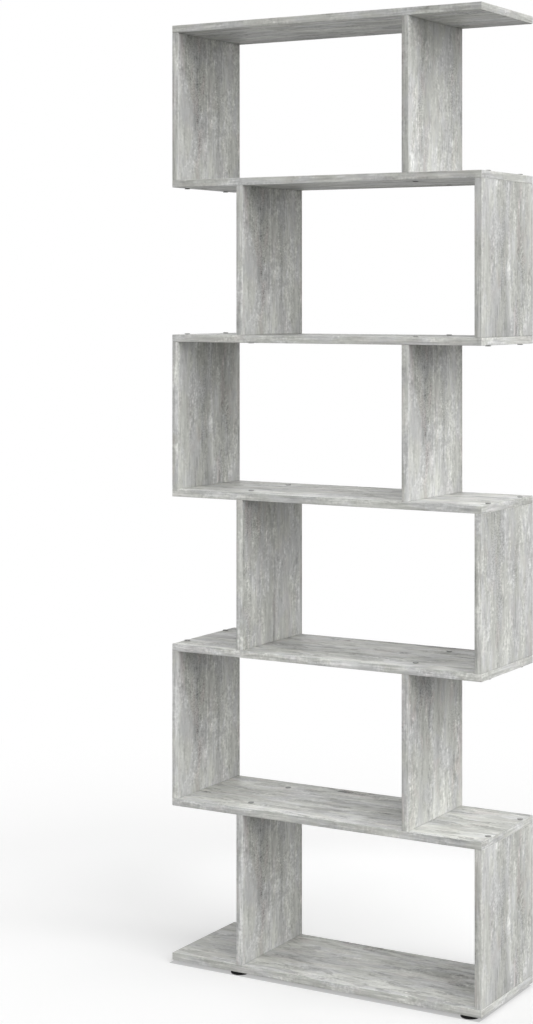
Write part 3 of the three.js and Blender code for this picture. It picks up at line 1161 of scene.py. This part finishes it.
# Each flank of the thread and its root take these shares of the pitch
FLANK_SHARE = 0.4
ROOT_SHARE = 0.2
HEAD_ROUND_SHARE = 0.5
HEAD_ROUND_STEPS = 5
SLOT_WIDTH = 0.9 * MM
SLOT_LENGTH_SHARE = 1.15
SLOT_DEPTH_SHARE = 0.55


def cut_cross(screw, width, length, depth):
    start_clean()
    bpy.ops.mesh.primitive_cube_add(size=1, scale=(length, width, 2 * depth))
    bpy.ops.object.transform_apply(location=False, rotation=False, scale=True)
    cutter = bpy.context.object
    bpy.ops.object.mode_set(mode="EDIT")
    bpy.ops.mesh.primitive_cube_add(size=1, scale=(width, length, 2 * depth))
    bpy.ops.object.mode_set(mode="OBJECT")
    start_clean()
    bpy.context.view_layer.objects.active = screw
    screw.select_set(True)
    cross = screw.modifiers.new("cross recess", "BOOLEAN")
    cross.operation = "DIFFERENCE"
    cross.solver = "EXACT"
    cross.use_self = True
    cross.object = cutter
    bpy.ops.object.modifier_apply(modifier=cross.name)
    discard(cutter)


def make_foot_screw(name, head_radius, head_height, shank_radius, length):
    screw = new_disc(name, SCREW_SIDES, head_radius, head_height)
    pick(screw, "edges", lambda edge: on_level(edge, 0))
    bpy.ops.mesh.bevel(offset=head_height * HEAD_ROUND_SHARE, segments=HEAD_ROUND_STEPS,
                       affect="EDGES")
    pick(screw, "faces", lambda face: face.normal.z > SQUARE)
    bpy.ops.mesh.inset(thickness=head_radius - shank_radius + THREAD_DEPTH, depth=0)
    radius = shank_radius - THREAD_DEPTH
    rings = int((length - head_height - shank_radius) / THREAD_PITCH)
    straight = length - head_height - shank_radius - rings * THREAD_PITCH
    radius = grow(radius, radius, straight)
    for ring in range(rings):
        radius = grow(radius, shank_radius, THREAD_PITCH * FLANK_SHARE)
        radius = grow(radius, shank_radius - THREAD_DEPTH, THREAD_PITCH * FLANK_SHARE)
        radius = grow(radius, radius, THREAD_PITCH * ROOT_SHARE)
    bpy.ops.mesh.extrude_region_move(TRANSFORM_OT_translate={"value": (0, 0, shank_radius)})
    bpy.ops.mesh.merge(type="CENTER")
    bpy.ops.object.mode_set(mode="OBJECT")
    cut_cross(screw, SLOT_WIDTH, head_radius * SLOT_LENGTH_SHARE, head_height * SLOT_DEPTH_SHARE)
    bpy.context.view_layer.objects.active = screw
    screw.select_set(True)
    soft_edges()
    return screw


# %% [markdown]
# Four feet carry the base board. The foot and its screw are each modelled once at the floor
# of the scene, and copied to where the frame has them. The heads sit inside the feet, so only
# plastic touches the floor.

# %% Feet and their screws
SHANK_RADIUS = 2.0 * MM
HEAD_HEIGHT = 2.4 * MM
places = [f"{end}_{side}" for end in ("front", "rear") for side in ("left", "right")]
foot_low, foot_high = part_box("foot_front_left")
screw_low, screw_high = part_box("foot_screw_front_left")
head_radius = (screw_high[1] - screw_low[1]) / 2
foot_model = make_foot("foot_model", (foot_high[1] - foot_low[1]) / 2, foot_high[2],
                       head_radius + RECESS_PLAY)
screw_model = make_foot_screw("foot_screw_model", head_radius, HEAD_HEIGHT, SHANK_RADIUS,
                              screw_high[2] - screw_low[2])
foot_model.data.materials.append(foot_material)
screw_model.data.materials.append(steel_material)
for place in places:
    low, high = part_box("foot_" + place)
    x = (low[0] + high[0]) / 2
    y = (low[1] + high[1]) / 2
    foot = copy_to(foot_model, "glide_" + place, (x, y, low[2]))
    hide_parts("foot_" + place)
    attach(foot, "root")
    screw = copy_to(screw_model, "glide_screw_" + place, (x, y, screw_low[2]))
    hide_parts("foot_screw_" + place)
    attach(screw, "root")
discard(foot_model, screw_model)
print("feet:", len(places))
